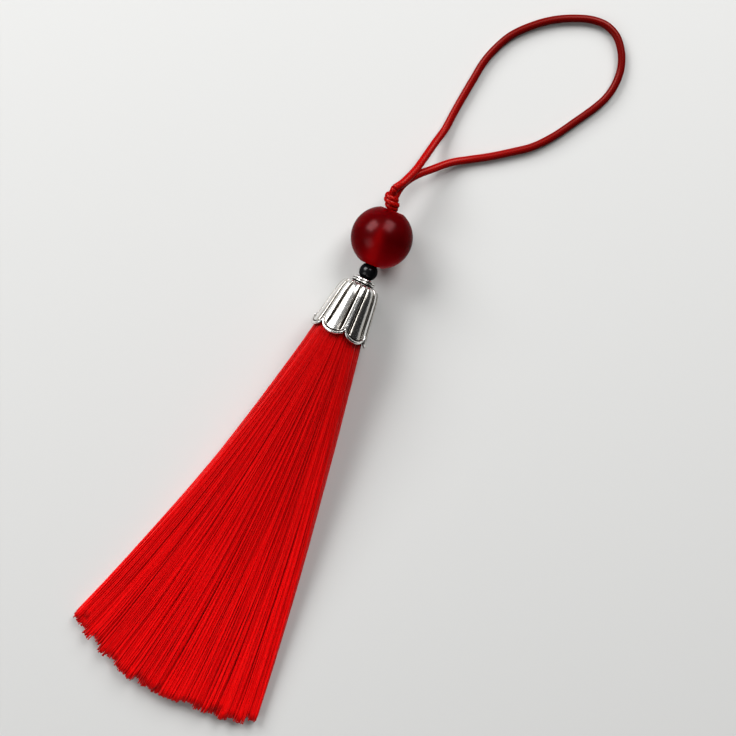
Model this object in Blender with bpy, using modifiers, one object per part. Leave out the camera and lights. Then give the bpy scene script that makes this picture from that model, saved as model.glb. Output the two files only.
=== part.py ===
"""Silk tassel charm with a petal cap, two beads and a knotted hanging loop, lying on a surface.

Metres, +Z up. The origin is the middle of the flat spot on which the red bead rests. +Y runs
along the tassel towards the hanging loop, and the silk fans out towards -Y.
"""

import math

import bmesh
import bpy
import numpy as np
from mathutils import Euler, Vector

MM = 0.001
CLEARANCE = 0.35 * MM

# The string of pieces. A turn leans it from +Y towards -X, and a tilt lifts its loop end.
BEAD_TURN = math.radians(6.6)
BEAD_TILT = math.radians(3.0)
CAP_TURN = math.radians(2.0)
CAP_TILT = math.radians(-2.0)

# Red bead
RED_BEAD_RADIUS = 5.0 * MM
RED_BEAD_HEIGHT = 4.86 * MM  # of its centre, so that a small flat spot touches the surface
BORE_RADIUS = 0.85 * MM
MOUTH_RADIUS = 1.9 * MM
MOUTH_DEPTH = 1.0 * MM

# Black bead, nested in the red bead's mouth
BLACK_BEAD_RADIUS = 1.5 * MM
BLACK_BEAD_OFFSET = 5.9 * MM

# Petal cap. Heights run up its axis from the lowest petal edge to the collar.
CAP_LENGTH = 10.1 * MM
CAP_OFFSET = 1.25 * MM  # from the black bead's centre to the collar's top
PETALS = 7
FLUTES = 2 * PETALS
STEPS_PER_FLUTE = 5
PETAL_DEPTH = 1.15 * MM
PETAL_PHASE = math.radians(22.1)
RIM_SLOPE = 0.2  # how much narrower the rim is for each mm that it rises
CAP_PROFILE = (  # height, radius, flute depth, share of the petal's curve; all but the last in mm
    (10.10, 1.45, 0.00, 0.0),
    (10.10, 1.82, 0.00, 0.0),
    (9.87, 2.00, 0.00, 0.0),
    (9.47, 2.00, 0.00, 0.0),
    (9.28, 1.80, 0.00, 0.0),
    (9.14, 1.86, 0.00, 0.0),
    (9.02, 2.66, 0.08, 0.0),
    (8.45, 3.18, 0.26, 0.0),
    (7.20, 3.56, 0.34, 0.0),
    (4.80, 3.98, 0.36, 0.05),
    (2.60, 4.38, 0.32, 0.3),
    (1.20, 4.68, 0.16, 0.7),
    (0.30, 4.90, 0.00, 1.0),
    (0.00, 4.90, 0.00, 1.0),
    (0.00, 4.50, 0.00, 1.0),
    (2.20, 4.04, 0.00, 0.6),
    (5.90, 3.08, 0.00, 0.0),
    (7.85, 2.40, 0.00, 0.0),
    (8.55, 1.45, 0.00, 0.0),
)

# Silk skirt, a bundle of locks numbered across (u) and upwards (v), each from -1 to 1
STRAND_COLUMNS = 44
STRAND_ROWS = 5
STRAND_FILL = (0.70, 0.84)  # of a lock's share of the width, narrowest and widest
STRAND_FILL_UP = 0.80
HEAD_SECTIONS = ((3.0, 3.25), (6.1, 2.35), (7.6, 1.40))  # height in the cap, radius, in mm
RIM_BUNDLE_RADIUS = 4.0 * MM
RIM_CENTRE_HEIGHT = 4.86 * MM
APEX = Vector((1.25 * MM, 1.83 * MM, 0.0))  # where the fanned threads would meet
APEX_TO_RIM = 19.1 * MM
SKIRT_LENGTH = 67.7 * MM
FAN_HALF_ANGLE = math.radians(12.4)
CORNER_ROUNDING = (0.052, 0.015)  # share by which the threads at the -X and +X edges are shorter
BOW = (1.13 * MM, -0.32 * MM)  # of the threads towards +X half-way: the middle one, and by u
TIP_THICKNESS = 2.3 * MM
EDGE_THINNING = 0.4
DROP_POWER = 1.5
LOWEST_RESTS_AT = 0.3  # share of the length by which the lowest locks lie on the surface
STATIONS = (0.0, 0.3, 0.62, 1.0)  # shares of a lock's length where its rings lie, from the cap's rim
RAGGEDNESS = 0.03
SHORTER_BELOW = 0.05

# Knot and cord
CORD_DIAMETER = 1.25 * MM
TAIL_DIAMETER = 1.05 * MM  # where it is pulled tight through the beads
KNOT_LENGTH = 3.3 * MM
KNOT_WIDTH = 2.5 * MM
KNOT_RIDGE = 0.07
KNOT_WRAPS = 3.5
KNOT_TURN = math.radians(33.0)
KNOT_TILT = math.radians(18.0)
KNOT_SEAT_TURN, KNOT_SEAT_TILT = math.radians(12.4), math.radians(5.7)
KNOT_OFFSET = 5.92 * MM
LOOP_POINTS = (  # in mm, from the knot round the loop and back to it
    (-1.92, 7.81, 6.72),
    (-1.39, 9.02, 6.55),
    (-1.06, 10.01, 6.10),
    (-0.48, 12.05, 4.90),
    (-0.05, 14.21, 3.55),
    (0.45, 17.84, 1.68),
    (0.82, 20.50, 0.86),
    (0.85, 23.72, 0.65),
    (0.95, 26.95, 0.65),
    (1.10, 29.99, 0.65),
    (1.26, 32.85, 0.65),
    (1.94, 35.79, 0.65),
    (3.18, 38.76, 0.65),
    (5.38, 41.62, 0.65),
    (7.87, 43.97, 0.65),
    (10.72, 45.81, 0.65),
    (13.55, 47.05, 0.65),
    (16.05, 47.36, 0.65),
    (18.14, 46.70, 0.65),
    (19.62, 45.44, 0.65),
    (20.76, 43.85, 0.65),
    (21.54, 41.90, 0.65),
    (21.82, 39.55, 0.65),
    (21.52, 37.13, 0.65),
    (20.75, 35.05, 0.65),
    (18.97, 31.46, 0.65),
    (16.87, 27.54, 0.65),
    (14.74, 24.64, 0.65),
    (12.16, 22.30, 0.65),
    (9.33, 19.96, 0.65),
    (6.56, 17.93, 0.70),
    (4.28, 16.16, 1.22),
    (1.82, 13.37, 2.75),
    (0.55, 11.82, 3.75),
    (-0.30, 10.38, 4.52),
    (-0.84, 9.05, 5.14),
    (-1.11, 7.97, 5.52),
)
LOOP_STEPS = 78

RNG = np.random.RandomState(7)


def string_rotation(turn, tilt):
    """Turns a piece's own +Z to the string's direction, with its own -Y uppermost."""
    return Euler((tilt - math.pi / 2, 0.0, turn))


def along(turn, tilt):
    direction = Vector((0.0, 0.0, 1.0))
    direction.rotate(string_rotation(turn, tilt))
    return direction


RED_BEAD_CENTRE = Vector((0.0, 0.0, RED_BEAD_HEIGHT))
BLACK_BEAD_CENTRE = RED_BEAD_CENTRE - BLACK_BEAD_OFFSET * along(BEAD_TURN, BEAD_TILT)
COLLAR_TOP = BLACK_BEAD_CENTRE - CAP_OFFSET * along(CAP_TURN, CAP_TILT)
CAP_FOOT = COLLAR_TOP - CAP_LENGTH * along(CAP_TURN, CAP_TILT)
KNOT_CENTRE = RED_BEAD_CENTRE + KNOT_OFFSET * along(KNOT_SEAT_TURN, KNOT_SEAT_TILT)


def clear_scene():
    for obj in list(bpy.data.objects):
        bpy.data.objects.remove(obj, do_unlink=True)


def new_collection(name):
    collection = bpy.data.collections.new(name)
    bpy.context.scene.collection.children.link(collection)
    return collection


def new_material(name, colour, roughness, metallic=0.0):
    material = bpy.data.materials.new(name)
    material.use_nodes = True
    shader = material.node_tree.nodes["Principled BSDF"]
    shader.inputs["Base Color"].default_value = (*colour, 1.0)
    shader.inputs["Roughness"].default_value = roughness
    shader.inputs["Metallic"].default_value = metallic
    return material


def new_object(name, data, collection, material=None):
    obj = bpy.data.objects.new(name, data)
    collection.objects.link(obj)
    if material:
        data.materials.append(material)
    return obj


def mesh_from(shape, name, smooth_angle=None):
    """Closes the bmesh's normals outwards and hands it over as a mesh."""
    bmesh.ops.recalc_face_normals(shape, faces=shape.faces)
    mesh = bpy.data.meshes.new(name)
    shape.to_mesh(mesh)
    shape.free()
    if smooth_angle:
        mesh.shade_smooth()
        mesh.set_sharp_from_angle(angle=smooth_angle)
    return mesh


def add_boolean(obj, operation, other):
    modifier = obj.modifiers.new(other.name, "BOOLEAN")
    modifier.operation = operation
    modifier.object = other
    other.hide_render = True
    other.display_type = "WIRE"


def drilled_bead(name, radius, mouth_radius, mouth_depth, arc_steps, steps, collection, material):
    """A turned ball with a bore along its own Z that widens to a conical mouth at each end."""
    edge = math.asin(mouth_radius / radius)
    angles = np.linspace(edge, math.pi - edge, arc_steps + 1)
    outline = [(radius * math.sin(angle), radius * math.cos(angle)) for angle in angles]
    if mouth_depth:
        bore_end = radius * math.cos(edge) - mouth_depth
        outline += [(BORE_RADIUS, -bore_end), (BORE_RADIUS, bore_end)]
    edges = [(i, (i + 1) % len(outline)) for i in range(len(outline))]
    mesh = bpy.data.meshes.new(name)
    mesh.from_pydata([(x, 0.0, z) for x, z in outline], edges, [])
    bead = new_object(name, mesh, collection, material)
    screw = bead.modifiers.new("turned", "SCREW")
    screw.steps = steps
    screw.render_steps = steps
    screw.use_merge_vertices = True
    screw.merge_threshold = 0.00001
    screw.use_smooth_shade = True
    return bead


def build_red_bead(parts, cutters):
    material = new_material("red_stone", (0.20, 0.0, 0.006), 0.12)
    bead = drilled_bead(
        "red_bead", RED_BEAD_RADIUS, MOUTH_RADIUS, MOUTH_DEPTH, 14, 32, parts, material
    )
    bead.location = RED_BEAD_CENTRE
    bead.rotation_euler = string_rotation(BEAD_TURN, BEAD_TILT)
    below = bmesh.new()
    bmesh.ops.create_cube(below, size=4 * RED_BEAD_RADIUS)
    surface = new_object("surface_cutter", mesh_from(below, "surface_cutter"), cutters)
    surface.location.z = -2 * RED_BEAD_RADIUS
    add_boolean(bead, "DIFFERENCE", surface)


def build_black_bead(parts):
    material = new_material("black_glass", (0.004, 0.004, 0.005), 0.08)
    bead = drilled_bead(
        "black_bead", BLACK_BEAD_RADIUS, BORE_RADIUS, 0.0, 9, 24, parts, material
    )
    bead.location = BLACK_BEAD_CENTRE
    bead.rotation_euler = string_rotation(BEAD_TURN, BEAD_TILT)


def petal_lift(angle):
    """How far the rim is above the petals' lowest edge: a round arc for each petal."""
    pitch = 2 * math.pi / PETALS
    across = ((angle / pitch) % 1.0) * 2 - 1
    return PETAL_DEPTH * (1 - math.sqrt(1 - 0.96 * across * across)) / 0.8


def flute_dip(angle):
    """0 on a flute's crown and 1 in the groove beside it."""
    across = ((angle * FLUTES / (2 * math.pi) + 0.5) % 1.0) * 2 - 1
    return 1 - math.sqrt(1 - across * across)


def build_cap(parts):
    """A grid wrapped into a tube: round the cap in one direction, down its outside and up its
    inside in the other."""
    material = new_material("antique_silver", (0.62, 0.60, 0.57), 0.25, 1.0)
    around = FLUTES * STEPS_PER_FLUTE
    shape = bmesh.new()
    bmesh.ops.create_grid(shape, x_segments=around, y_segments=len(CAP_PROFILE), size=1.0)
    for vert in shape.verts:
        angle = math.pi * (vert.co.x + 1)
        row = round((vert.co.y + 1) / 2 * len(CAP_PROFILE)) % len(CAP_PROFILE)
        height, radius, flute, petal = CAP_PROFILE[row]
        lift = petal * petal_lift(angle)
        radius = (radius - flute * flute_dip(angle)) * MM - RIM_SLOPE * lift
        height = height * MM + lift
        turned = angle + PETAL_PHASE
        vert.co = (radius * math.cos(turned), radius * math.sin(turned), height)
    bmesh.ops.remove_doubles(shape, verts=shape.verts, dist=0.000001)
    mesh = mesh_from(shape, "cap", math.radians(35))
    cap = new_object("cap", mesh, parts, material)
    cap.location = CAP_FOOT
    cap.rotation_euler = string_rotation(CAP_TURN, CAP_TILT)


def in_cap(across, up, height):
    """A point in the cap: across and up from its axis, at a height above its foot."""
    point = Vector((across, -up, height))
    point.rotate(string_rotation(CAP_TURN, CAP_TILT))
    return CAP_FOOT + point


def on_disc(u, v):
    """The square of locks laid onto a round bundle of radius 1."""
    return u * math.sqrt(1 - v * v / 2), v * math.sqrt(1 - u * u / 2)


def bundle_point(u, v, share):
    """A point of the skirt at a share of its length from the cap's rim to its ends. The threads
    bow a little to one side, and drop from the round bundle onto the surface."""
    across, up = on_disc(u, v)
    rim = in_cap(RIM_BUNDLE_RADIUS * across, RIM_BUNDLE_RADIUS * up, 0.0)
    rim.z += RIM_CENTRE_HEIGHT - CAP_FOOT.z
    reach = APEX_TO_RIM + SKIRT_LENGTH * (1 - CORNER_ROUNDING[u > 0] * abs(u) ** 1.5)
    angle = u * FAN_HALF_ANGLE
    end = APEX + Vector((reach * math.sin(angle), -reach * math.cos(angle), 0.0))
    level = (v + 1) / 2
    end.z = TIP_THICKNESS * (1 - EDGE_THINNING * u * u) * level
    rests_at = LOWEST_RESTS_AT + (1 - LOWEST_RESTS_AT) * level
    drop = max(0.0, 1 - share / rests_at) ** DROP_POWER
    point = rim.lerp(end, share)
    point.x += (BOW[0] + BOW[1] * u) * max(0.0, math.sin(math.pi * share**1.1)) ** 1.2
    point.z = end.z + (rim.z - end.z) * drop
    return point


def build_skirt(parts):
    """The head's lower face is a grid with one cell for each lock, and each lock is drawn out of
    its cell, narrower than the cell, ring by ring."""
    material = new_material("red_silk", (0.62, 0.0, 0.004), 0.45)
    shape = bmesh.new()
    u_of = shape.verts.layers.float.new("u")
    v_of = shape.verts.layers.float.new("v")
    bmesh.ops.create_grid(shape, x_segments=STRAND_COLUMNS, y_segments=STRAND_ROWS, size=1.0)
    for vert in shape.verts:
        vert[u_of], vert[v_of] = vert.co.x, vert.co.y
    cells = shape.faces[:]
    section = cells
    for index, (height, radius) in enumerate(HEAD_SECTIONS):
        if index:
            made = bmesh.ops.extrude_face_region(shape, geom=section)["geom"]
            if index > 1:
                bmesh.ops.delete(shape, geom=section, context="FACES")
            section = [item for item in made if isinstance(item, bmesh.types.BMFace)]
        for vert in {vert for face in section for vert in face.verts}:
            across, up = on_disc(vert[u_of], vert[v_of])
            vert.co = in_cap(across * radius * MM, up * radius * MM, height * MM)
    bmesh.ops.dissolve_faces(shape, faces=section, use_verts=True)
    for face in cells:
        draw_lock(shape, face, u_of, v_of)
    new_object("skirt", mesh_from(shape, "skirt"), parts, material)


def draw_lock(shape, face, u_of, v_of):
    u_middle = sum(vert[u_of] for vert in face.verts) / 4
    v_middle = sum(vert[v_of] for vert in face.verts) / 4
    lowest_row = v_middle - 1 / STRAND_ROWS < -0.99
    fill = RNG.uniform(*STRAND_FILL)
    depth = (1 - v_middle) / 2
    length = 1 - SHORTER_BELOW * depth - RNG.uniform(0, RAGGEDNESS)
    height, radius = HEAD_SECTIONS[0]
    for share in (None, *STATIONS):
        face = bmesh.ops.extrude_discrete_faces(shape, faces=[face])["faces"][0]
        for vert in face.verts:
            if share is None:
                vert[u_of] = u_middle + fill * (vert[u_of] - u_middle)
                vert[v_of] = v_middle + STRAND_FILL_UP * (vert[v_of] - v_middle)
                across, up = on_disc(vert[u_of], vert[v_of])
                vert.co = in_cap(across * radius * MM, up * radius * MM, height * MM)
                continue
            v = -1.0 if lowest_row and vert[v_of] < v_middle else vert[v_of]
            vert.co = bundle_point(vert[u_of], v, share * length)


def build_knot(parts, cutters):
    """A ridged knot, and the cord's tail from it down through both beads into the cap."""
    material = new_material("red_cord", (0.50, 0.004, 0.008), 0.35)
    shape = bmesh.new()
    bmesh.ops.create_uvsphere(shape, u_segments=20, v_segments=18, radius=1.0)
    for vert in shape.verts:
        turn = math.atan2(vert.co.y, vert.co.x)
        ridge = 1 + KNOT_RIDGE * math.cos(math.pi * KNOT_WRAPS * vert.co.z + turn)
        vert.co.x *= ridge * KNOT_WIDTH / 2
        vert.co.y *= ridge * KNOT_WIDTH / 2
        vert.co.z *= KNOT_LENGTH / 2
    knot = new_object("knot", mesh_from(shape, "knot", math.radians(50)), parts, material)
    knot.location = KNOT_CENTRE
    knot.rotation_euler = string_rotation(KNOT_TURN, KNOT_TILT)

    head_top = in_cap(0.0, 0.0, HEAD_SECTIONS[-1][0] * MM)
    tail_length = (KNOT_CENTRE - head_top).length - CLEARANCE
    tail = bmesh.new()
    bmesh.ops.create_cone(
        tail,
        cap_ends=True,
        segments=12,
        radius1=TAIL_DIAMETER / 2,
        radius2=TAIL_DIAMETER / 2,
        depth=tail_length,
    )
    bmesh.ops.translate(tail, verts=tail.verts, vec=(0.0, 0.0, -tail_length / 2))
    tail = new_object("knot_tail", mesh_from(tail, "knot_tail"), cutters)
    direction = along(BEAD_TURN, BEAD_TILT)
    tail.location = RED_BEAD_CENTRE + direction * (KNOT_CENTRE - RED_BEAD_CENTRE).dot(direction)
    tail.rotation_euler = string_rotation(BEAD_TURN, BEAD_TILT)
    add_boolean(knot, "UNION", tail)


def smooth_path(points, steps):
    """Evenly spaced points on a centripetal Catmull-Rom curve through the given ones."""
    first, last = 2 * points[0] - points[1], 2 * points[-1] - points[-2]
    control = np.vstack([first, points, last])
    fine = []
    for a, b, c, d in zip(control, control[1:], control[2:], control[3:]):
        t0 = 0.0
        t1 = t0 + math.sqrt(np.linalg.norm(b - a))
        t2 = t1 + math.sqrt(np.linalg.norm(c - b))
        t3 = t2 + math.sqrt(np.linalg.norm(d - c))
        for t in np.linspace(t1, t2, 12, endpoint=False):
            ab = (t1 - t) / (t1 - t0) * a + (t - t0) / (t1 - t0) * b
            bc = (t2 - t) / (t2 - t1) * b + (t - t1) / (t2 - t1) * c
            cd = (t3 - t) / (t3 - t2) * c + (t - t2) / (t3 - t2) * d
            abc = (t2 - t) / (t2 - t0) * ab + (t - t0) / (t2 - t0) * bc
            bcd = (t3 - t) / (t3 - t1) * bc + (t - t1) / (t3 - t1) * cd
            fine.append((t2 - t) / (t2 - t1) * abc + (t - t1) / (t2 - t1) * bcd)
    fine = np.array(fine + [points[-1]])
    travelled = np.concatenate([[0], np.cumsum(np.linalg.norm(np.diff(fine, axis=0), axis=1))])
    even = np.linspace(0, travelled[-1], steps)
    return np.column_stack([np.interp(even, travelled, fine[:, axis]) for axis in range(3)])


def build_loop(parts):
    material = new_material("red_loop_cord", (0.50, 0.004, 0.008), 0.35)
    path = smooth_path(np.array(LOOP_POINTS) * MM, LOOP_STEPS)
    curve = bpy.data.curves.new("loop_cord", "CURVE")
    curve.dimensions = "3D"
    curve.bevel_depth = CORD_DIAMETER / 2
    curve.bevel_resolution = 2
    curve.use_fill_caps = True
    spline = curve.splines.new("POLY")
    spline.points.add(len(path) - 1)
    for point, place in zip(spline.points, path):
        point.co = (*place, 1.0)
    new_object("loop_cord", curve, parts, material)


def main():
    clear_scene()
    parts = new_collection("silk_tassel")
    cutters = new_collection("cutters")
    cutters.hide_render = True
    build_skirt(parts)
    build_cap(parts)
    build_black_bead(parts)
    build_red_bead(parts, cutters)
    build_knot(parts, cutters)
    build_loop(parts)


main()
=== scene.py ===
"""The looks of the silk tassel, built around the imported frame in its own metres."""

import math

import bpy
import numpy as np
from mathutils import Euler, Matrix, Vector


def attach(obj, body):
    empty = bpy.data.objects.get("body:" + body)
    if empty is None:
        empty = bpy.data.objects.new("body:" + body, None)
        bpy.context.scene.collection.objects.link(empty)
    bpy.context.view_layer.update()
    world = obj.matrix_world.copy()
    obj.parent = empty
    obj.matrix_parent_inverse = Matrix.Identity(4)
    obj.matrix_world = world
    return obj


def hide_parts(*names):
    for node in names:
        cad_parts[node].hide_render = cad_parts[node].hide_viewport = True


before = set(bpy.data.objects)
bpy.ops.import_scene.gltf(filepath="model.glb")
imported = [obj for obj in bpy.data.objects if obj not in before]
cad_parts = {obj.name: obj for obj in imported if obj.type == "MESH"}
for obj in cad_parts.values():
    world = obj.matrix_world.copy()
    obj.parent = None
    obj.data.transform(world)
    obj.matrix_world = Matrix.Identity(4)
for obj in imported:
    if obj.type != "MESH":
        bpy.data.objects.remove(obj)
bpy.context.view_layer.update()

MM = 0.001
RNG = np.random.RandomState(11)
PICTURE = 736  # pixels across the photograph's frame
UP = np.array([0.0, 0.0, 1.0])

# The string of pieces, as in the solids. A turn leans it from +Y towards -X, and a tilt lifts its
# loop end.
BEAD_TURN, BEAD_TILT = math.radians(6.6), math.radians(3.0)
CAP_TURN, CAP_TILT = math.radians(2.0), math.radians(-2.0)
RED_BEAD_RADIUS = 5.0 * MM
BORE_RADIUS = 0.85 * MM
MOUTH_RADIUS = 1.9 * MM
MOUTH_DEPTH = 1.0 * MM
BLACK_BEAD_RADIUS = 1.5 * MM
BLACK_BEAD_OFFSET = 5.9 * MM
CAP_LENGTH = 10.1 * MM
CAP_OFFSET = 1.25 * MM  # from the black bead's centre to the collar's top
CORD_DIAMETER = 1.25 * MM


def string_matrix(turn, tilt):
    """Turns a piece's own +Z to the string's direction, with its own -Y uppermost."""
    return np.array(Euler((tilt - math.pi / 2, 0.0, turn)).to_matrix())


BEAD_AXES = string_matrix(BEAD_TURN, BEAD_TILT)
CAP_AXES = string_matrix(CAP_TURN, CAP_TILT)
RED_BEAD_CENTRE = np.array([0.0, 0.0, 4.86 * MM])
BLACK_BEAD_CENTRE = RED_BEAD_CENTRE - BLACK_BEAD_OFFSET * BEAD_AXES[:, 2]
CAP_FOOT = BLACK_BEAD_CENTRE - (CAP_OFFSET + CAP_LENGTH) * CAP_AXES[:, 2]


# ---------------------------------------------------------------- camera and stage


CAMERA_ELEVATION = math.radians(94.0)
CAMERA_TURN = math.radians(28.0)
CAMERA_PLACE = (-2.215 * MM, -6.338 * MM, 214.423 * MM)  # before the turn
FOCAL_LENGTH = 1300.0  # in the picture's pixels
SENSOR_WIDTH = 36.0


def make_camera():
    """Looks down on the cap and beads, square to the string they are on. Returns its axes."""
    spin = Matrix.Rotation(CAMERA_TURN, 3, "Z")
    cos, sin = math.cos(CAMERA_ELEVATION), math.sin(CAMERA_ELEVATION)
    forward = spin @ Vector((0.0, cos, -sin))
    up = spin @ Vector((0.0, sin, cos))
    matrix = Matrix((forward.cross(up), up, -forward)).transposed().to_4x4()
    matrix.translation = spin @ Vector(CAMERA_PLACE)
    data = bpy.data.cameras.new("camera")
    data.sensor_width = SENSOR_WIDTH
    data.lens = FOCAL_LENGTH / PICTURE * SENSOR_WIDTH
    data.clip_start = 1 * MM
    camera = bpy.data.objects.new("camera", data)
    camera.matrix_world = matrix
    bpy.context.scene.collection.objects.link(camera)
    bpy.context.scene.camera = camera
    return matrix.to_3x3()


CAMERA_AXES = make_camera()
bpy.context.scene.view_settings.view_transform = "Standard"


def in_picture(right, up, towards):
    """A direction given by the picture's right, its top and towards the camera."""
    return CAMERA_AXES @ Vector((right, up, towards))


LAMPS_AIM_AT = Vector((0.0, -20 * MM, 0.0))
SOFT_BOXES = (  # name, direction in the picture, distance, width, height in metres, watts
    ("key", (-0.52, 0.63, 0.58), 0.72, 0.448, 0.384, 5.6),
    ("second", (0.43, 0.62, 0.66), 0.72, 0.352, 0.512, 4.6),
    ("fill", (-0.75, -0.35, 0.6), 0.8, 0.4, 0.4, 1.1),
)


def soft_box(name, direction, distance, width, height, watts):
    data = bpy.data.lights.new(name, "AREA")
    data.shape = "RECTANGLE"
    data.size, data.size_y = width, height
    data.energy = watts
    light = bpy.data.objects.new(name, data)
    direction = in_picture(*direction).normalized()
    light.location = LAMPS_AIM_AT + direction * distance
    light.rotation_euler = direction.to_track_quat("Z", "Y").to_euler()
    bpy.context.scene.collection.objects.link(light)


def add_node(tree, kind, inputs=(), **settings):
    node = tree.nodes.new("ShaderNode" + kind)
    for name, value in settings.items():
        setattr(node, name, value)
    for key, value in dict(inputs).items():
        if isinstance(value, bpy.types.NodeSocket):
            tree.links.new(value, node.inputs[key])
        else:
            node.inputs[key].default_value = value
    return node


def ranged(tree, value, value_range, result_range, **settings):
    """A value's range carried to another one and held at its ends."""
    inputs = dict(enumerate((value, *value_range, *result_range)))
    return add_node(tree, "MapRange", inputs, **settings).outputs[0]


def new_material(name, values):
    material = bpy.data.materials.new(name)
    material.use_nodes = True
    shader = material.node_tree.nodes["Principled BSDF"]
    for key, value in values.items():
        shader.inputs[key].default_value = value
    return material, material.node_tree, shader


FLOOR_REACH = 6.0  # metres each way
FLOOR_DROP = 0.02 * MM  # so that the floor and what lies on it don't share a plane
FLOOR_LOOK = {
    "Base Color": (0.64, 0.64, 0.63, 1.0),
    "Roughness": 0.85,
    "Specular IOR Level": 0.2,
}
# The studio is dimmer towards the picture's right and foot.
DARK_SIDE = in_picture(0.95, -0.3, 0.0)
DIMMING_SPREAD = (-0.35, 0.35)
STUDIO_STRENGTH = (0.15, 0.012)  # on the light side and on the dark side


def make_stage():
    mesh = bpy.data.meshes.new("floor")
    corners = [
        (x * FLOOR_REACH, y * FLOOR_REACH, 0) for x, y in ((-1, -1), (1, -1), (1, 1), (-1, 1))
    ]
    mesh.from_pydata(corners, [], [(0, 1, 2, 3)])
    floor = bpy.data.objects.new("floor", mesh)
    floor.location.z = -FLOOR_DROP
    bpy.context.scene.collection.objects.link(floor)
    mesh.materials.append(new_material("pale_paper", FLOOR_LOOK)[0])

    world = bpy.data.worlds.new("studio")
    world.use_nodes = True
    tree = world.node_tree
    background = tree.nodes["Background"]
    background.inputs["Color"].default_value = (1.0, 1.0, 1.0, 1.0)
    bpy.context.scene.world = world
    direction = add_node(tree, "TexCoord").outputs["Generated"]
    towards_dark = add_node(
        tree, "VectorMath", {0: direction, 1: DARK_SIDE}, operation="DOT_PRODUCT"
    )
    strength = ranged(tree, towards_dark.outputs["Value"], DIMMING_SPREAD, STUDIO_STRENGTH)
    tree.links.new(strength, background.inputs["Strength"])
    for box in SOFT_BOXES:
        soft_box(*box)


make_stage()


# ---------------------------------------------------------------- meshes and materials


def add_mesh(name, verts, faces, material, corner_values=None, sharp=None):
    """A smooth piece on the root body. corner_values is a vector for each corner, which the
    material reads by the name "spot", and sharp is the angle past which an edge stays sharp."""
    mesh = bpy.data.meshes.new(name)
    mesh.from_pydata(verts.tolist(), [], faces if isinstance(faces, list) else faces.tolist())
    if corner_values is not None:
        values = mesh.attributes.new("spot", "FLOAT_VECTOR", "CORNER")
        values.data.foreach_set("vector", np.ascontiguousarray(corner_values, np.float32).ravel())
    mesh.shade_smooth()
    if sharp:
        mesh.set_sharp_from_angle(angle=math.radians(sharp))
    mesh.materials.append(material)
    piece = bpy.data.objects.new(name, mesh)
    bpy.context.scene.collection.objects.link(piece)
    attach(piece, "root")
    return piece


def unit(vectors):
    """Vectors of the same directions and of length 1."""
    return vectors / np.linalg.norm(vectors, axis=-1, keepdims=True)


def tubes(paths, radii, sides, shades=0.5, steady=UP):
    """Tubes along paths of shape (tubes, rings, 3). Returns vertices, faces and corner values
    (share of the way round, millimetres along, the tube's own shade). Each ring's first side is
    square to the direction steady."""
    count, rings, _ = paths.shape
    radii = np.broadcast_to(radii, (count, rings))
    shades = np.broadcast_to(shades, count)
    tangent = unit(np.gradient(paths, axis=1))
    side = unit(np.cross(tangent, steady))
    rise = np.cross(side, tangent)
    turn = 2 * math.pi * np.arange(sides) / sides
    ring = (
        np.cos(turn)[None, None, :, None] * side[:, :, None]
        + np.sin(turn)[None, None, :, None] * rise[:, :, None]
    )
    verts = paths[:, :, None] + radii[:, :, None, None] * ring
    steps = np.linalg.norm(np.diff(paths, axis=1), axis=2)
    along = np.concatenate([np.zeros((count, 1)), np.cumsum(steps, axis=1)], axis=1) / MM

    tube, row, col = np.meshgrid(
        np.arange(count), np.arange(rings - 1), np.arange(sides), indexing="ij"
    )
    first = (tube * rings + row) * sides
    right = (col + 1) % sides
    quads = np.stack(
        [first + col, first + right, first + sides + right, first + sides + col], axis=-1
    ).reshape(-1, 4)
    around = np.stack([col, col + 1, col + 1, col], axis=-1) / sides
    near, far = along[tube, row], along[tube, row + 1]
    length = np.stack([near, near, far, far], axis=-1)
    shade = np.broadcast_to(shades[tube][..., None], around.shape)
    values = [np.stack([around, length, shade], axis=-1).reshape(-1, 3)]
    faces = quads.tolist()
    # the flat ends
    start = np.arange(count) * rings * sides
    for ring_index, order in ((0, -1), (rings - 1, 1)):
        ends = start[:, None] + ring_index * sides + np.arange(sides)[::order]
        faces += ends.tolist()
        flat = np.stack([np.zeros(count), along[:, ring_index], shades], axis=-1)
        values.append(np.repeat(flat, sides, axis=0))
    return verts.reshape(-1, 3), faces, np.concatenate(values)


def joined(parts):
    """Several (vertices, faces, corner values) as one."""
    verts, faces, values, offset = [], [], [], 0
    for part_verts, part_faces, part_values in parts:
        verts.append(part_verts)
        faces += [[index + offset for index in face] for face in part_faces]
        values.append(part_values)
        offset += len(part_verts)
    return np.concatenate(verts), faces, np.concatenate(values)


def turned(outline, steps):
    """A closed outline of (radius, height) turned about +Z."""
    outline = np.array(outline)
    rows = len(outline)
    angle = 2 * math.pi * np.arange(steps) / steps
    verts = np.stack(
        [
            outline[None, :, 0] * np.cos(angle)[:, None],
            outline[None, :, 0] * np.sin(angle)[:, None],
            np.broadcast_to(outline[None, :, 1], (steps, rows)),
        ],
        axis=-1,
    ).reshape(-1, 3)
    step, row = np.meshgrid(np.arange(steps), np.arange(rows), indexing="ij")
    a, b = step * rows, (step + 1) % steps * rows
    faces = np.stack([a + row, a + (row + 1) % rows, b + (row + 1) % rows, b + row], axis=-1)
    return verts, faces.reshape(-1, 4)


def sums(tree, operation, *values):
    """The output of a Math node on numbers or sockets."""
    return add_node(tree, "Math", dict(enumerate(values)), operation=operation).outputs[0]


def scaled(tree, colour, factor):
    node = add_node(tree, "VectorMath", {0: colour, "Scale": factor}, operation="SCALE")
    return node.outputs[0]


def noise(tree, scale, detail, **inputs):
    values = {"Scale": scale, "Detail": detail, **inputs}
    return add_node(tree, "TexNoise", values).outputs[0]


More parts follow.
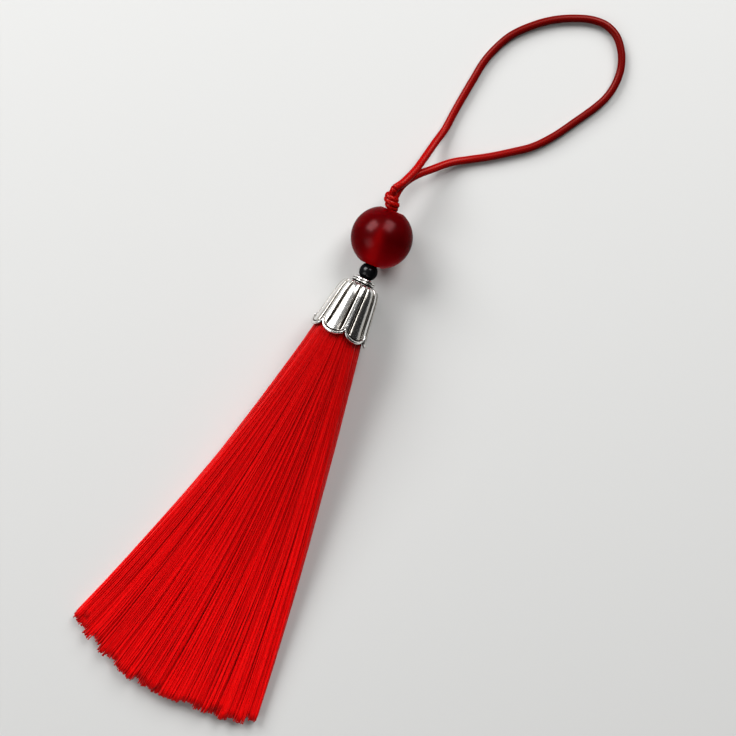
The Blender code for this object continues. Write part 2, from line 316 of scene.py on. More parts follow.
def spot(tree):
    """Sockets of a corner's three values. A tube's are its share of the way round, millimetres
    along and the tube's own shade."""
    read = add_node(tree, "Attribute", attribute_name="spot")
    return tuple(add_node(tree, "SeparateXYZ", {0: read.outputs["Vector"]}).outputs)


def ramp(tree, factor, *stops):
    """A colour ramp of (position, colour) stops."""
    node = add_node(tree, "ValToRGB", {0: factor})
    elements = node.color_ramp.elements
    while len(elements) < len(stops):
        elements.new(0.5)
    for element, (position, colour) in zip(elements, stops):
        element.position = position
        element.color = (*colour, 1.0)
    return node.outputs[0]


def bump(tree, shader, height, strength, distance):
    node = add_node(tree, "Bump", {"Height": height, "Strength": strength, "Distance": distance})
    tree.links.new(node.outputs[0], shader.inputs["Normal"])


SHEEN_ENDS = (0.14, 0.31)  # of how far the surface turns away: the last full sheen, and the least
SHEEN_FADE = 20  # how many times weaker the least sheen is


def satin(tree, shader, level):
    """A sheen that stays off the limb, where a smooth surface would mirror the floor."""
    facing = add_node(tree, "LayerWeight", {"Blend": 0.5}).outputs["Facing"]
    levels = (level, level / SHEEN_FADE)
    faded = ranged(tree, facing, SHEEN_ENDS, levels, interpolation_type="SMOOTHSTEP")
    shader.inputs["Specular IOR Level"].default_value = level
    tree.links.new(faded, shader.inputs["Specular IOR Level"])


# ---------------------------------------------------------------- cord

CORD_SHEEN = 0.30
# The cord's red, painted darker in the braid's low places between strands, as shade
CORD_REDS_AND_BRAID_SHADE = ((0.15, (0.15, 0.0, 0.001)), (0.8, (0.36, 0.003, 0.002)))
BRAID_STRANDS = 6  # each way round
BRAID_STEP = 0.5  # mm along the cord from one strand to the next
BRAID_DEPTH = 0.03 * MM
# Painted shade: the cord is darker in the loop's far half and fully light by the knot
LOOP_MIDDLE = 50.4  # mm along the loop
LOOP_SHADE_FADES = (20.0, 44.0)  # mm from the middle, each way
LOOP_PAINTED_LIGHTNESS = (0.42, 1.0)  # in its far half and by the knot
CORD_SIDES = 16


def cord_material():
    """A satin cord of fine braid: two sets of strands that cross as they run round it."""
    material, tree, shader = new_material(
        "red_cord", {"Roughness": 0.28, "Specular Tint": (1.0, 0.36, 0.30, 1.0)}
    )
    around, along, _ = spot(tree)
    waves = []
    for way in (1, -1):
        round_it = sums(tree, "MULTIPLY", around, way * BRAID_STRANDS * 2 * math.pi)
        turn = sums(tree, "MULTIPLY_ADD", along, 2 * math.pi / BRAID_STEP, round_it)
        waves.append(sums(tree, "SINE", turn))
    braid = sums(tree, "MULTIPLY_ADD", sums(tree, "MAXIMUM", *waves), 0.5, 0.5)
    # painted shade: darker in the loop's far half and in the braid's low places
    from_middle = sums(tree, "ABSOLUTE", sums(tree, "SUBTRACT", along, LOOP_MIDDLE))
    painted_lightness = ranged(tree, from_middle, LOOP_SHADE_FADES, LOOP_PAINTED_LIGHTNESS)
    colour = scaled(tree, ramp(tree, braid, *CORD_REDS_AND_BRAID_SHADE), painted_lightness)
    tree.links.new(colour, shader.inputs["Base Color"])
    satin(tree, shader, CORD_SHEEN)
    bump(tree, shader, braid, 0.45, BRAID_DEPTH)
    return material


CORD_LOOK = cord_material()


# ---------------------------------------------------------------- hanging loop

# In mm, from the knot round the loop and back to it. Beside the knot they lie up to 0.23 mm from
# the points of the solid, and elsewhere they are the same.
LOOP_POINTS = (
    (-1.82, 7.79, 6.72),
    (-1.19, 8.97, 6.55),
    (-0.84, 9.95, 6.10),
    (-0.28, 12.00, 4.90),
    (0.02, 14.20, 3.55),
    (0.45, 17.84, 1.68),
    (0.82, 20.50, 0.86),
    (0.85, 23.72, 0.65),
    (0.95, 26.95, 0.65),
    (1.10, 29.99, 0.65),
    (1.26, 32.85, 0.65),
    (1.94, 35.79, 0.65),
    (3.18, 38.76, 0.65),
    (5.38, 41.62, 0.65),
    (7.87, 43.97, 0.65),
    (10.72, 45.81, 0.65),
    (13.55, 47.05, 0.65),
    (16.05, 47.36, 0.65),
    (18.14, 46.70, 0.65),
    (19.62, 45.44, 0.65),
    (20.76, 43.85, 0.65),
    (21.54, 41.90, 0.65),
    (21.82, 39.55, 0.65),
    (21.52, 37.13, 0.65),
    (20.75, 35.05, 0.65),
    (18.97, 31.46, 0.65),
    (16.87, 27.54, 0.65),
    (14.74, 24.64, 0.65),
    (12.16, 22.30, 0.65),
    (9.33, 19.96, 0.65),
    (6.56, 17.93, 0.70),
    (4.28, 16.16, 1.22),
    (1.82, 13.37, 2.75),
    (0.52, 11.83, 3.75),
    (-0.38, 10.40, 4.52),
    (-0.94, 9.07, 5.14),
    (-1.18, 7.98, 5.52),
)
LOOP_STEPS = 460
FINE_STEPS = 24  # from one of the points to the next, before they are spaced evenly


def smooth_path(points, steps):
    """Evenly spaced points on a centripetal Catmull-Rom curve through the given ones."""
    first, last = 2 * points[0] - points[1], 2 * points[-1] - points[-2]
    control = np.vstack([first, points, last])
    fine = []
    for a, b, c, d in zip(control, control[1:], control[2:], control[3:]):
        t0 = 0.0
        t1 = t0 + math.sqrt(np.linalg.norm(b - a))
        t2 = t1 + math.sqrt(np.linalg.norm(c - b))
        t3 = t2 + math.sqrt(np.linalg.norm(d - c))
        for t in np.linspace(t1, t2, FINE_STEPS, endpoint=False):
            ab = (t1 - t) / (t1 - t0) * a + (t - t0) / (t1 - t0) * b
            bc = (t2 - t) / (t2 - t1) * b + (t - t1) / (t2 - t1) * c
            cd = (t3 - t) / (t3 - t2) * c + (t - t2) / (t3 - t2) * d
            abc = (t2 - t) / (t2 - t0) * ab + (t - t0) / (t2 - t0) * bc
            bcd = (t3 - t) / (t3 - t1) * bc + (t - t1) / (t3 - t1) * cd
            fine.append((t2 - t) / (t2 - t1) * abc + (t - t1) / (t2 - t1) * bcd)
    fine = np.array(fine + [points[-1]])
    travelled = np.concatenate([[0], np.cumsum(np.linalg.norm(np.diff(fine, axis=0), axis=1))])
    even = np.linspace(0, travelled[-1], steps)
    return np.column_stack([np.interp(even, travelled, fine[:, axis]) for axis in range(3)])


def make_loop():
    path = smooth_path(np.array(LOOP_POINTS) * MM, LOOP_STEPS)
    verts, faces, values = tubes(path[None], CORD_DIAMETER / 2, CORD_SIDES)
    loop = add_mesh("hanging_loop", verts, faces, CORD_LOOK, values)
    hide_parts("loop_cord")


make_loop()


# ---------------------------------------------------------------- knot

KNOT_AXES = string_matrix(math.radians(33.0), math.radians(18.0))
KNOT_SEAT_AXES = string_matrix(math.radians(12.4), math.radians(5.7))
KNOT_SEAT = 5.92 * MM  # from the red bead's centre
KNOT_CENTRE = RED_BEAD_CENTRE + KNOT_SEAT * KNOT_SEAT_AXES[:, 2]
KNOT_LENGTH, KNOT_WIDTH = 3.3 * MM, 2.5 * MM
WRAPS = 2.7
WRAP_RADIUS = 0.53 * MM
WRAP_SLANT = 0.45 * MM
CORE_RADIUS = 0.78 * MM
STRAND_ENDS = (  # an end of the loop, and where its strand stops in the knot, in mm
    (LOOP_POINTS[0], (-0.35, 0.25, 0.4)),
    (LOOP_POINTS[-1], (0.35, -0.2, 0.4)),
)
STRAND_RADIUS = CORD_DIAMETER / 2 * 0.99  # just inside the loop's own surface
TAIL_STRAND_RADIUS = 0.27 * MM
TAIL_PITCH = 9 * MM
TAIL_REACH = 3.6 * MM  # past the black bead's centre, into the cap


def knot_wraps():
    """One cord wound round the knot. Its turns slant, and they draw in towards both ends."""
    share = np.linspace(0, 1, 150)
    from_middle = share - 0.5
    turn = 2 * math.pi * WRAPS * share
    reach = (KNOT_WIDTH / 2 - WRAP_RADIUS) * np.sqrt(1 - 0.85 * (1.8 * from_middle) ** 2)
    slant = WRAP_SLANT * np.cos(turn) * (1 - 1.2 * np.abs(from_middle))
    level = from_middle * (KNOT_LENGTH - 2.2 * WRAP_RADIUS) - slant
    local = np.stack([reach * np.cos(turn), -reach * np.sin(turn), level], axis=-1)
    path = KNOT_CENTRE + local @ KNOT_AXES.T
    return tubes(path[None], WRAP_RADIUS, 12, steady=KNOT_AXES[:, 2])


def knot_core():
    level = np.linspace(-0.46, 0.46, 12)
    path = KNOT_CENTRE + level[:, None] * KNOT_LENGTH * KNOT_AXES[:, 2]
    radius = CORE_RADIUS * np.sqrt(1 - 0.9 * (2 * level) ** 2)
    return tubes(path[None], radius[None], CORD_SIDES, steady=KNOT_AXES[:, 0])


def strand_end(point, inside):
    """The loop's cord, on from one of its ends into the knot."""
    start = np.array(point) * MM
    end = KNOT_CENTRE + KNOT_AXES @ (np.array(inside) * MM)
    path = start + np.linspace(-0.02, 1, 8)[:, None] * (end - start)
    return tubes(path[None], STRAND_RADIUS, CORD_SIDES)


def tail_strands():
    """Two thin strands, twisted together, down through both beads into the cap."""
    direction = BEAD_AXES[:, 2]
    top = (KNOT_CENTRE - RED_BEAD_CENTRE) @ direction
    bottom = (BLACK_BEAD_CENTRE - RED_BEAD_CENTRE) @ direction - TAIL_REACH
    way = np.linspace(top, bottom, 60)[:, None]
    strands = []
    for start in (0.0, math.pi):
        swirl = way / TAIL_PITCH * 2 * math.pi + start
        outward = np.cos(swirl) * BEAD_AXES[:, 0] + np.sin(swirl) * BEAD_AXES[:, 1]
        path = RED_BEAD_CENTRE + way * direction + TAIL_STRAND_RADIUS * outward
        strands.append(tubes(path[None], TAIL_STRAND_RADIUS, 10))
    return strands


def make_knot():
    ends = [strand_end(*end) for end in STRAND_ENDS]
    verts, faces, values = joined([knot_wraps(), knot_core(), *ends, *tail_strands()])
    knot = add_mesh("knot_wraps", verts, faces, CORD_LOOK, values)
    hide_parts("knot")


make_knot()


# ---------------------------------------------------------------- beads

STONE_SHEEN, GLASS_SHEEN = 0.21, 0.3
STONE_REDS = (  # by how strongly the painted glow and the veins show
    (0.0, (0.070, 0.0, 0.0006)),
    (0.5, (0.120, 0.0, 0.0008)),
    (1.0, (0.19, 0.0005, 0.001)),
)
# Painted light: how light the stone's red is by height from its centre in mm
STONE_PAINTED_LIGHTNESS = ((-4.8, 2.0), (-4.2, 2.5), (-3.6, 2.8), (-2.8, 2.25), (-1.6, 1.4), (0.0, 0.95))
# Painted light and shade: the power of e that this is multiplied by, from one side of the bead to
# the other in mm
PAINTED_SIDE_LIGHT = (
    (-5.0, -0.95),
    (-3.5, -0.7),
    (-1.6, -0.35),
    (-0.3, -0.25),
    (0.6, 0.1),
    (1.5, 0.5),
    (2.5, 0.75),
    (3.5, 0.9),
    (5.0, 0.9),
)
PAINTED_SIDE_SHARE = ((-2.8, 1.0), (0.5, 0.0))  # of the power that acts, by height in mm
# The painted glow: a streak of painted light in the stone, shown on three sides
GLOW_ANGLES = tuple(math.radians(angle) for angle in (-96, 24, 144))  # -90 is uppermost
GLOW_WIDTH = ((-4.5, 1.40), (1.5, 0.70))  # by height, both in mm
GLOW_TOP = 2.6  # the height in mm at which it ends


def placed(verts, centre, axes):
    """Carries a piece's own points to their place, and none of them under the floor."""
    verts = centre + verts @ axes.T
    verts[:, 2] = np.maximum(verts[:, 2], 0.0)
    return verts


def by_table(values, table):
    return np.interp(values, *zip(*table))


def bead_outline(radius, steps, mouth=BORE_RADIUS, mouth_depth=0.0):
    """From the upper mouth down the outside, and up through the bore. The mouths of a bead that
    has a mouth_depth are cones."""
    edge = math.asin(mouth / radius)
    angle = np.linspace(edge, math.pi - edge, steps)
    outside = [(radius * math.sin(a), radius * math.cos(a)) for a in angle]
    bore_end = radius * math.cos(edge) - mouth_depth
    bore = [(BORE_RADIUS, level) for level in np.linspace(-bore_end, bore_end, 9)]
    return outside + (bore if mouth_depth else bore[1:-1])


def painted_glow(verts):
    """How strong the painted light is: a soft glowing streak from pole to pole along the bore,
    wider towards the foot, that shows on each of three sides."""
    x, y, level = verts.T / MM
    width = by_table(level, GLOW_WIDTH)
    glow = np.zeros(len(verts))
    for angle in GLOW_ANGLES:
        cos, sin = math.cos(angle), math.sin(angle)
        across = y * cos - x * sin
        facing = x * cos + y * sin > 0
        glow = np.maximum(glow, facing * np.exp(-((across / width) ** 2)))
    return glow * np.clip((GLOW_TOP - level) / GLOW_TOP, 0, 1) ** 0.7


def painted_stone_light(verts):
    """The stone is lighter towards its lower end, and there more so on one side, as the photo
    shows it."""
    # painted light and shade: a lighter foot, and one side lit more than the other
    x, _, level = verts.T / MM
    power = by_table(x, PAINTED_SIDE_LIGHT) * by_table(level, PAINTED_SIDE_SHARE)
    return by_table(level, STONE_PAINTED_LIGHTNESS) * np.exp(power)


def stone_material():
    material, tree, shader = new_material(
        "red_stone",
        {
            "Roughness": 0.23,
            "Specular Tint": (1.0, 0.34, 0.36, 1.0),
            "Subsurface Weight": 0.8,
            "Subsurface Radius": (1.0, 0.05, 0.05),
            "Subsurface Scale": 3.0 * MM,
        },
    )
    satin(tree, shader, STONE_SHEEN)
    # painted light: the glow streak and the lighter lower end are painted into the red
    glow, painted_lightness, _ = spot(tree)
    place = add_node(tree, "TexCoord").outputs["Object"]
    veins = noise(tree, 240.0, 3.0, Vector=place, Distortion=0.8)
    shown = sums(tree, "MULTIPLY_ADD", veins, 0.3, sums(tree, "SUBTRACT", glow, 0.15))
    colour = scaled(tree, ramp(tree, shown, *STONE_REDS), painted_lightness)
    tree.links.new(colour, shader.inputs["Base Color"])
    return material


def glass_material():
    material, tree, shader = new_material(
        "black_glass", {"Base Color": (0.004, 0.004, 0.005, 1.0), "Roughness": 0.2}
    )
    satin(tree, shader, GLASS_SHEEN)
    bump(tree, shader, noise(tree, 900.0, 2.0), 0.05, 0.02 * MM)
    return material


def make_red_bead():
    outline = bead_outline(RED_BEAD_RADIUS, 64, MOUTH_RADIUS, MOUTH_DEPTH)
    verts, faces = turned(outline, 128)
    values = np.zeros((faces.size, 3))
    # painted light in the stone's colour: its glow streak and its lighter foot and side
    values[:, 0] = painted_glow(verts)[faces.ravel()]
    values[:, 1] = painted_stone_light(verts)[faces.ravel()]
    verts = placed(verts, RED_BEAD_CENTRE, BEAD_AXES)
    bead = add_mesh("stone_bead", verts, faces, stone_material(), values, sharp=40)
    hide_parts("red_bead")


def make_black_bead():
    verts, faces = turned(bead_outline(BLACK_BEAD_RADIUS, 40), 72)
    verts = placed(verts, BLACK_BEAD_CENTRE, BEAD_AXES)
    bead = add_mesh("spacer_bead", verts, faces, glass_material(), sharp=40)
    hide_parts("black_bead")


make_red_bead()
make_black_bead()


# ---------------------------------------------------------------- cap

PETALS = 7
COLUMNS_TO_A_PETAL = 56
PETAL_DEPTH = 1.15 * MM
PETAL_PHASE = math.radians(22.1)
RIM_SLOPE = 0.2
FLUTE_SKEW = math.radians(-0.4)  # of the flutes from the cusps, where they leave the rim
# The share of a petal's width that the flute over each cusp takes, by height in mm
RIDGE_SHARE = ((0.8, 0.38), (5.5, 0.39), (8.5, 0.42))
CAP_BODY = (  # height, radius, flute depth, share of the petal's curve; all but the last in mm
    (9.14, 1.86, 0.00, 0.00),
    (9.13, 2.20, 0.03, 0.00),
    (9.04, 2.62, 0.10, 0.00),
    (8.80, 2.94, 0.24, 0.00),
    (8.40, 3.20, 0.34, 0.00),
    (7.80, 3.41, 0.42, 0.00),
    (7.20, 3.56, 0.46, 0.00),
    (6.00, 3.77, 0.48, 0.02),
    (4.80, 3.98, 0.48, 0.05),
    (3.60, 4.19, 0.46, 0.16),
    (2.60, 4.37, 0.42, 0.32),
    (1.75, 4.54, 0.36, 0.53),
    (1.15, 4.67, 0.26, 0.75),
    (0.68, 4.76, 0.20, 0.90),
    (0.30, 4.81, 0.06, 1.00),
    (0.00, 4.83, 0.00, 1.00),
)
SHOULDER = 3  # the point of CAP_BODY above which the neck turns in
BORDERED = 1.4  # mm of the profile, up from the rim, in which the petals' border lies
# The petals' rolled border and the channel above it, in mm from the rim
ROLL_MIDDLE, ROLL_RADIUS = 0.23, 0.24
CHANNEL_MIDDLE, CHANNEL_WIDTH, CHANNEL_DEPTH = 0.57, 0.09, 0.13
FLUTES_FADE = (0.55, 0.85)
COLLAR = (  # radius, height, in mm, from the bore up over the two lips and down to the neck
    (1.45, 9.35),
    (1.45, 9.97),
    (1.52, 10.08),
    (1.66, 10.12),
    (1.84, 10.08),
    (1.96, 9.98),
    (2.00, 9.86),
    (1.98, 9.75),
    (1.88, 9.69),
    (1.82, 9.67),
    (1.88, 9.64),
    (1.98, 9.58),
    (2.03, 9.48),
    (2.01, 9.37),
    (1.90, 9.28),
    (1.79, 9.24),
    (1.75, 9.19),
    (1.78, 9.15),
)
COLLAR_BORE = 1.5  # mm, over which a radius is outside the collar's bore
BETWEEN_LIPS = 9.67  # mm up
CAP_INSIDE = (  # radius and height in mm, share of the petal's curve, from the rim to the neck
    (4.84, -0.05, 1.0),
    (4.66, -0.05, 1.0),
    (4.50, 0.08, 1.0),
    (4.25, 1.00, 0.8),
    (3.98, 2.00, 0.6),
    (3.55, 4.10, 0.2),
    (3.08, 5.90, 0.0),
    (2.40, 7.85, 0.0),
    (1.45, 8.55, 0.0),
)
INSIDE_DIRT = 0.6
SILVER = (  # clean, tarnished, and dirty
    (0.12, (0.84, 0.83, 0.81)),
    (0.40, (0.45, 0.42, 0.38)),
    (0.70, (0.025, 0.018, 0.014)),
)


def petal_lift(angle):
    """How far the petals' edge is above its lowest points, which are the petals' tips."""
    pitch = 2 * math.pi / PETALS
    across = ((angle / pitch) % 1.0) * 2 - 1
    return PETAL_DEPTH * (1 - np.sqrt(1 - 0.96 * across * across)) / 0.8


def flute_across(angle, height):
    """-1 to 1 across each flute. A narrow flute runs up from each cusp, and a wide one between."""
    share = (angle * PETALS / (2 * math.pi) + 0.5) % 1.0 - 0.5
    half = by_table(height, RIDGE_SHARE) / 2
    wide = (share - np.sign(share) * 0.5) / (0.5 - half)
    return np.where(np.abs(share) < half, share / half, wide)


def smoother(value, low, high):
    """0 to 1, smoothly, from low to high."""
    t = np.clip((value - low) / (high - low), 0, 1)
    return t * t * (3 - 2 * t)


def cap_outside(angle, lift):
    """Rows down over the flutes and petals: radius and height in mm, and the dirt they hold."""
    body = np.array(CAP_BODY)
    steps = np.hypot(np.diff(body[:, 0]), np.diff(body[:, 1]))
    drawn = np.concatenate([[0], np.cumsum(steps)])
    shoulder, rim = drawn[SHOULDER], drawn[-1]
    sampled = np.concatenate(
        [
            np.linspace(0, shoulder, 12, endpoint=False),
            np.linspace(shoulder, rim - BORDERED, 30, endpoint=False),
            np.linspace(rim - BORDERED, rim, 42),
        ]
    )
    height, radius, depth, petal = (np.interp(sampled, drawn, c)[:, None] for c in body.T)
    slope = np.gradient(np.pad(lift, 1, mode="wrap"))[1:-1] * len(angle) / (2 * math.pi * radius)
    to_rim = (rim - sampled)[:, None] / np.sqrt(1 + (slope * petal) ** 2)

    skew = FLUTE_SKEW * smoother(height, 0.6, 2.0)
    across = np.abs(flute_across(angle + skew, height))
    rounded = 1 - np.sqrt(1 - (0.97 * across) ** 2)
    slot = smoother(across, 0.78, 0.96)
    fluted = smoother(to_rim, *FLUTES_FADE)
    roll = ROLL_RADIUS * np.sqrt(np.clip(1 - ((to_rim - ROLL_MIDDLE) / ROLL_RADIUS) ** 2, 0, 1))
    channel = np.exp(-(((to_rim - CHANNEL_MIDDLE) / CHANNEL_WIDTH) ** 2))
    relief = roll - CHANNEL_DEPTH * channel - depth * (0.70 * rounded + 0.55 * slot) * fluted
    radius = radius + relief - RIM_SLOPE * lift * petal

    worn_in = 0.34 * smoother(across, 0.15, 0.60) + 0.66 * smoother(across, 0.80, 0.95)
    dirt = np.maximum(worn_in * fluted * smoother(height, 9.0, 8.6), 1.1 * channel)
    neck_dirt = 1 - smoother(sampled, 0.1, 0.5)[:, None]
    return radius, height + lift * petal, np.maximum(dirt, neck_dirt)


def cap_collar(columns):
    """Rows up the bore and over the two lips: radius and height in mm, and the dirt they hold."""
    radius, height = np.array(COLLAR).T[:, :, None]
    between_lips = np.exp(-(((height - BETWEEN_LIPS) / 0.05) ** 2))
    dirt = np.maximum(between_lips, smoother(height, 9.38, 9.22)) * (radius > COLLAR_BORE)
    return tuple(rows * np.ones(columns) for rows in (radius, height, dirt))


def cap_inside(lift):
    """Rows up the inside: radius and height in mm, and the dirt they hold."""
    radius, height, petal = np.array(CAP_INSIDE).T[:, :, None]
    radius = radius - RIM_SLOPE * lift * petal
    return radius, height + lift * petal, np.full(radius.shape, INSIDE_DIRT)


def silver_material():
    material, tree, shader = new_material("antique_silver", {"Metallic": 1.0})
    held, _, _ = spot(tree)  # the dirt that the shape holds
    speck = noise(tree, 2600.0, 3.0, Roughness=0.6)
    clouded = sums(tree, "MULTIPLY_ADD", noise(tree, 420.0, 2.0), 0.3, held)
    dirt = sums(tree, "MULTIPLY_ADD", speck, 0.5, clouded)
    colour = ramp(tree, sums(tree, "SUBTRACT", dirt, 0.35), *SILVER)
    tree.links.new(colour, shader.inputs["Base Color"])
    rough = ranged(tree, dirt, (0.8, 1.3), (0.22, 0.5))
    tree.links.new(rough, shader.inputs["Roughness"])
    bump(tree, shader, speck, 0.17, 0.02 * MM)
    return material


def make_cap():
    """One closed skin: down the collar and the outside to the rim, and up the inside."""
    columns = PETALS * COLUMNS_TO_A_PETAL
    angle = 2 * math.pi * np.arange(columns) / columns
    lift = petal_lift(angle) / MM
    parts = (cap_collar(columns), cap_outside(angle, lift), cap_inside(lift))
    radius, height, dirt = (np.concatenate(rows) for rows in zip(*parts))
    angle = angle + PETAL_PHASE
    verts = np.stack([radius * np.cos(angle), radius * np.sin(angle), height], axis=-1) * MM
    rows = len(radius)
    row, col = np.meshgrid(np.arange(rows), np.arange(columns), indexing="ij")
    here, below = row * columns, (row + 1) % rows * columns
    right = (col + 1) % columns
    faces = np.stack([here + col, below + col, below + right, here + right], axis=-1)
    faces = faces.reshape(-1, 4)
    values = np.zeros((faces.size, 3))
    values[:, 0] = dirt.ravel()[faces.ravel()]
    verts = placed(verts.reshape(-1, 3), CAP_FOOT, CAP_AXES)
    silver = silver_material()
    cap = add_mesh("petal_cap", verts, faces, silver, values, sharp=50)
    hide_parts("cap")


make_cap()


# ---------------------------------------------------------------- silk

RIM_BUNDLE_RADIUS = 4.25 * MM
RIM_CENTRE_HEIGHT = 4.86 * MM
APEX = np.array([1.25, 1.83, 0.0]) * MM
APEX_TO_RIM = 19.1 * MM
SKIRT_LENGTH = 67.7 * MM
FAN_HALF_ANGLE = math.radians(12.4)
CORNER_ROUNDING = (0.015, 0.052)  # share by which the threads at the +X and -X edges are shorter
BOW = (1.08 * MM, -0.38 * MM)  # of the threads towards +X half-way: the middle one, and by u
TIP_THICKNESS = 2.3 * MM
EDGE_THINNING = 0.4
DROP_POWER = 1.5
LOWEST_RESTS_AT = 0.3
NARROWING = 0.055  # for each mm up into the cap

THREADS_ACROSS, THREADS_UP = 232, 11
THREAD_SHARES = np.array((-0.05, -0.02, *np.linspace(0, 0.98, 20), 1.0))
THREAD_RADII = ((0.0, 0.080), (0.4, 0.105), (1.0, 0.130))  # in mm, by share of the length
TIP_TAPER = 0.8
FAN_FILLED = 0.975  # share of the fan's width that the threads' rows take
U_LIMITS, V_LIMITS = (-0.995, 0.982), (-1.0, 1.0)
LOCKS_ACROSS, LOCKS_UP, LOCK_LEVELS = 30, 2.4, 3
BANDS = (-0.35, 0.35)  # of v, from one piece of the silk to the next
FLOOR_CLEARANCE = 0.01 * MM
# Random spreads. Those of a place are of u and of v.
PLACE_SPREAD = (0.002, 0.02)
LOCK_EDGE_SPREAD = 0.15
LOCK_LEAN = 0.005
TIP_SPREAD = (0.006, 0.02)
RADIUS_SPREAD = (0.85, 1.1)
U_WAVES, V_WAVES = (0.005, (0.9, 0.45, 0.22)), (0.02, (0.8, 0.35))  # strength, wave lengths
# Lengths as shares of the skirt's: the longest, and how much shorter a lock, a thread and the
# undermost threads are
LONGEST, LOCK_CUT, THREAD_CUT, UNDER_CUT = 1.001, 0.011, 0.0035, 0.02
# A thread's shade: the middle one, its change with u, which is painted light, and its change from
# lock to lock and with the thread
SHADE, PAINTED_LIGHT_BY_U, SHADE_BY_LOCK, SHADE_BY_THREAD = 0.52, 0.22, 0.14, 0.10

SILK_REDS = ((0.25, (0.57, 0.0, 0.0008)), (0.5, (0.71, 0.0, 0.001)), (0.85, (0.86, 0.002, 0.002)))
# Painted shade: the silk is darker by the cap's mouth and lightens along the threads
SILK_SHADE_FADES = (2.0, 45.0)  # mm along the threads, from where they are packed in the cap's mouth
SILK_PAINTED_LIGHTNESS = (0.74, 1.0)
TWIST_PITCH = 1.1  # mm
TWIST_DEPTH = 0.015 * MM


def silk_material():
    material, tree, shader = new_material(
        "red_silk",
        {
            "Roughness": 0.42,
            "Specular IOR Level": 0.35,
            "Specular Tint": (1.0, 0.28, 0.25, 1.0),
            "Sheen Weight": 0.10,
            "Sheen Roughness": 0.4,
            "Sheen Tint": (1.0, 0.12, 0.10, 1.0),
        },
    )
    around, along, shade = spot(tree)
    # long streaks that differ from thread to thread
    thread = sums(tree, "MULTIPLY", shade, 57.0)
    place = add_node(tree, "CombineXYZ", {0: thread, 1: sums(tree, "MULTIPLY", along, 0.35)})
    streak = noise(tree, 1.0, 2.0, Vector=place.outputs[0])
    streak = sums(tree, "MULTIPLY_ADD", streak, 0.4, 0.1)
    mixed = sums(tree, "MULTIPLY_ADD", shade, 0.45, streak)
    # painted shade, darker by the cap's mouth
    painted_lightness = ranged(tree, along, SILK_SHADE_FADES, SILK_PAINTED_LIGHTNESS)
    colour = scaled(tree, ramp(tree, mixed, *SILK_REDS), painted_lightness)
    tree.links.new(colour, shader.inputs["Base Color"])
    round_it = sums(tree, "MULTIPLY", around, 4 * math.pi)
    turns = sums(tree, "MULTIPLY_ADD", along, 2 * math.pi / TWIST_PITCH, round_it)
    bump(tree, shader, sums(tree, "SINE", turns), 0.1, TWIST_DEPTH)
    return material


def in_cap(across, up, height):
    """Points across and up from the cap's axis, at a height above its foot."""
    local = np.stack([across, -up, np.broadcast_to(height, np.shape(across))], axis=-1)
    return CAP_FOOT + local @ CAP_AXES.T


def bundle(u, v, share):
    """Points of the skirt: u across and v up, from -1 to 1, at a share of its length from the
    rim. Negative shares lie in the cap."""
    across = RIM_BUNDLE_RADIUS * u * np.sqrt(1 - v * v / 2)
    up = RIM_BUNDLE_RADIUS * v * np.sqrt(1 - u * u / 2)
    rim = in_cap(across, up, 0.0)
    rim[..., 2] += RIM_CENTRE_HEIGHT - CAP_FOOT[2]
    rounding = np.where(u > 0, *CORNER_ROUNDING)
    reach = APEX_TO_RIM + SKIRT_LENGTH * (1 - rounding * np.abs(u) ** 1.5)
    angle = u * FAN_HALF_ANGLE
    level = (v + 1) / 2
    x, y = APEX[0] + reach * np.sin(angle), APEX[1] - reach * np.cos(angle)
    end = np.stack([x, y, TIP_THICKNESS * (1 - EDGE_THINNING * u * u) * level], axis=-1)
    rests_at = LOWEST_RESTS_AT + (1 - LOWEST_RESTS_AT) * level
    drop = np.maximum(0.0, 1 - share / rests_at) ** DROP_POWER
    outside = np.maximum(share, 0.0)[..., None]
    point = rim + (end - rim) * outside
    bow = np.maximum(np.sin(math.pi * np.clip(share, 0, 1) ** 1.1), 0.0) ** 0.75
    point[..., 0] += (BOW[0] + BOW[1] * u) * bow
    point[..., 2] = end[..., 2] + (rim[..., 2] - end[..., 2]) * drop

    inside = np.maximum(-share, 0.0) * SKIRT_LENGTH
    narrow = 1 - NARROWING * inside / MM
    within = in_cap(across * narrow, up * narrow, inside)
    return np.where((share < 0)[..., None], within, point)


def waves(count, shares, strength, lengths):
    """Slow random sideways waves of each thread, 0 at the rim."""
    total = np.zeros((count, len(shares)))
    for length in lengths:
        phase = RNG.uniform(0, 2 * math.pi, (count, 1))
        size = RNG.normal(0, 1, (count, 1)) * length
        total += size * (np.sin(2 * math.pi * shares[None] / length + phase) - np.sin(phase))
    return strength * total


def spread(count):
    """Evenly spaced places from -1 to 1."""
    return (np.arange(count) + 0.5) / count * 2 - 1


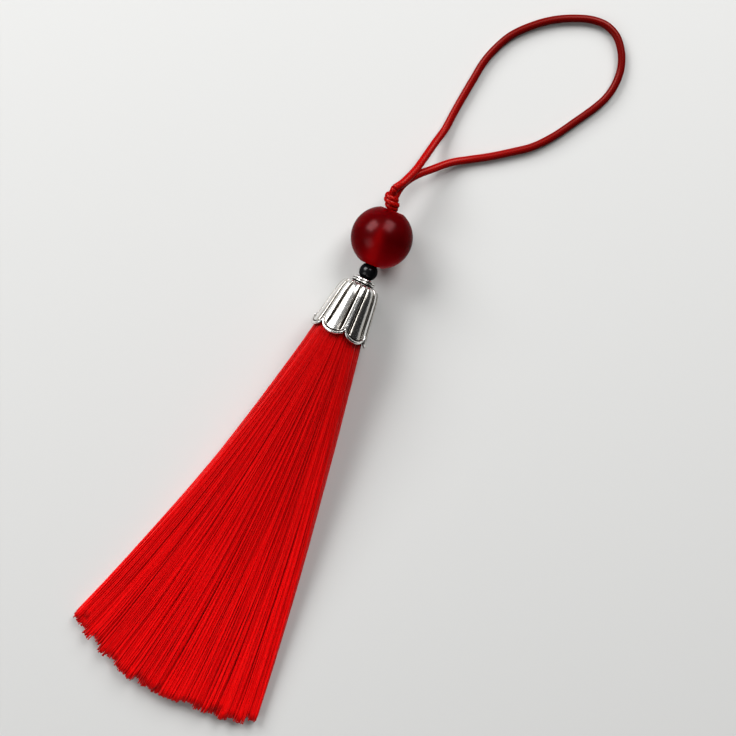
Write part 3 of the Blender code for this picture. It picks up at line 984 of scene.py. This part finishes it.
def silk_threads():
    """Every thread's path, radii and shade, and its v at the rim. Neighbouring threads make locks
    that lean together and are cut together."""
    u, v = (grid.ravel() for grid in np.meshgrid(spread(THREADS_ACROSS), spread(THREADS_UP)))
    count = len(u)
    u = FAN_FILLED * u + RNG.normal(0, PLACE_SPREAD[0], count)
    v = v + RNG.normal(0, PLACE_SPREAD[1], count)
    edges = RNG.normal(0, LOCK_EDGE_SPREAD, count)
    lock = np.floor((u + 1) * LOCKS_ACROSS / 2 + edges).astype(int)
    lock = lock * LOCK_LEVELS + np.floor((v + 1) * LOCKS_UP / 2).astype(int)
    lock -= lock.min()
    locks = lock.max() + 1

    lean = RNG.normal(0, 1, locks)
    cut_to = RNG.normal(0, 1, locks)
    u_shift = LOCK_LEAN * lean[lock] + RNG.normal(0, TIP_SPREAD[0], count)
    v_shift = RNG.normal(0, TIP_SPREAD[1], count)
    cut = LONGEST - LOCK_CUT * np.abs(cut_to[lock]) - np.abs(RNG.normal(0, THREAD_CUT, count))
    cut -= UNDER_CUT * (1 - v) / 2
    swing = np.clip(THREAD_SHARES, 0, 1)
    bent_u = u[:, None] + u_shift[:, None] * swing + waves(count, swing, *U_WAVES)
    bent_v = v[:, None] + v_shift[:, None] * swing + waves(count, swing, *V_WAVES)
    share = np.where(THREAD_SHARES < 0, THREAD_SHARES, THREAD_SHARES * cut[:, None])
    paths = bundle(np.clip(bent_u, *U_LIMITS), np.clip(bent_v, *V_LIMITS), share)

    thickness = RNG.uniform(*RADIUS_SPREAD, (count, 1))
    radii = by_table(THREAD_SHARES, THREAD_RADII) * MM * thickness
    radii[:, -1] *= TIP_TAPER
    paths[..., 2] = np.maximum(paths[..., 2], radii + FLOOR_CLEARANCE)
    # painted light: lighter towards +X, which makes up for the lamps
    shade = SHADE + PAINTED_LIGHT_BY_U * u + SHADE_BY_LOCK * RNG.normal(0, 1, locks)[lock]
    shade += RNG.normal(0, SHADE_BY_THREAD, count)
    return paths, radii, np.clip(shade, 0, 1), v


def make_silk():
    silk = silk_material()
    paths, radii, shade, v = silk_threads()
    bands = np.digitize(v, BANDS)
    for band, name in enumerate(("silk_lower", "silk_middle", "silk_upper")):
        chosen = bands == band
        verts, faces, values = tubes(paths[chosen], radii[chosen], 4, shade[chosen])
        piece = add_mesh(name, verts, faces, silk, values)
        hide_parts("skirt")


make_silk()
